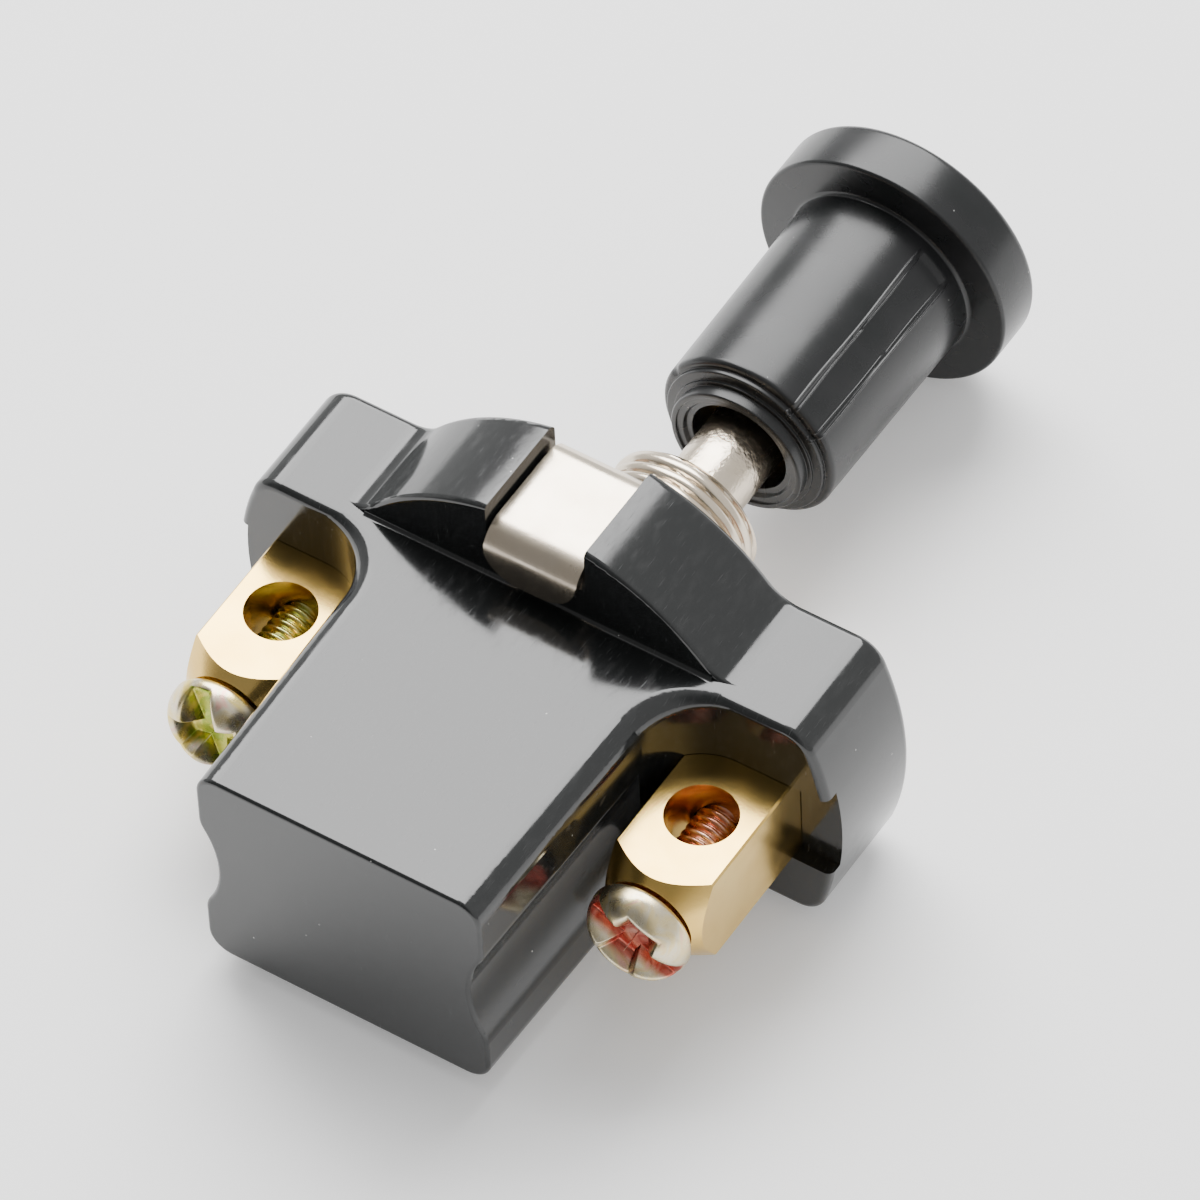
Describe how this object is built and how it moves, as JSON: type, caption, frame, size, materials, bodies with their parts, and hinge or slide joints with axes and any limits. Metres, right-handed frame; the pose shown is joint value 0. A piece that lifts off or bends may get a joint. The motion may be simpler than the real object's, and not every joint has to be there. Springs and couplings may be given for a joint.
{
  "type": "push-pull lamp switch",
  "caption": "Panel-mounted push-pull switch: moulded black housing with screw terminals either side of a block, threaded bush, sliding rod and mushroom knob.",
  "frame": {"origin": "on the bush axis, in the front face of the mounting bracket that seats against the back of the panel", "axes": "+Y along the pull rod towards the terminals, -Y towards the knob, +Z out of the flat top where the bracket's strap shows, X across the wings"},
  "size_m": [0.05, 0.076, 0.028],
  "materials": {
    "black_bakelite": "high gloss moulded, a few scuffs",
    "black_knob_plastic": "satin moulded",
    "brown_fibre": "pressed fibre board",
    "nickel_plated_steel": "warm bright nickel plate",
    "spring_steel": "drawn wire",
    "bright_brass": "bright machined",
    "yellow_zinc": "yellow chromated zinc with iridescent bands",
    "spring_bronze": "satin rolled strip"
  },
  "bodies": {
    "base": {"housing": "black_bakelite", "front_cover": "brown_fibre", "mounting_bracket": "nickel_plated_steel", "threaded_bush": "nickel_plated_steel", "detent_spring": "spring_steel", "terminal_block_left": "bright_brass", "terminal_block_right": "bright_brass", "fixed_contact_left": "spring_bronze", "fixed_contact_right": "spring_bronze", "contact_screw_left": "yellow_zinc", "contact_screw_right": "yellow_zinc"},
    "rod": {"pull_rod": "nickel_plated_steel", "shoulder_washer": "spring_steel", "contact_carrier": "brown_fibre", "contact_ring": "bright_brass", "carrier_collar": "brown_fibre", "end_washer": "spring_steel", "retaining_clip": "spring_steel"},
    "knob": {"knob": "black_knob_plastic", "knob_insert": "bright_brass"},
    "screw_left": {"clamp_screw_left": "yellow_zinc"},
    "screw_right": {"clamp_screw_right": "yellow_zinc"}
  },
  "joints": [
    {"name": "rod_pull", "type": "slide", "parent": "base", "child": "rod", "axis": [0, -1, 0], "range_m": [0, 0.008], "deforming": ["detent_spring"]},
    {"name": "knob_removal", "type": "slide", "parent": "rod", "child": "knob", "axis": [0, -1, 0], "range_m": [0, 0.0125]},
    {"name": "screw_left_back_out", "type": "slide", "parent": "base", "child": "screw_left", "axis": [0, 1, 0], "range_m": [0, 0.006]},
    {"name": "screw_right_back_out", "type": "slide", "parent": "base", "child": "screw_right", "axis": [0, 1, 0], "range_m": [0, 0.006]}
  ]
}
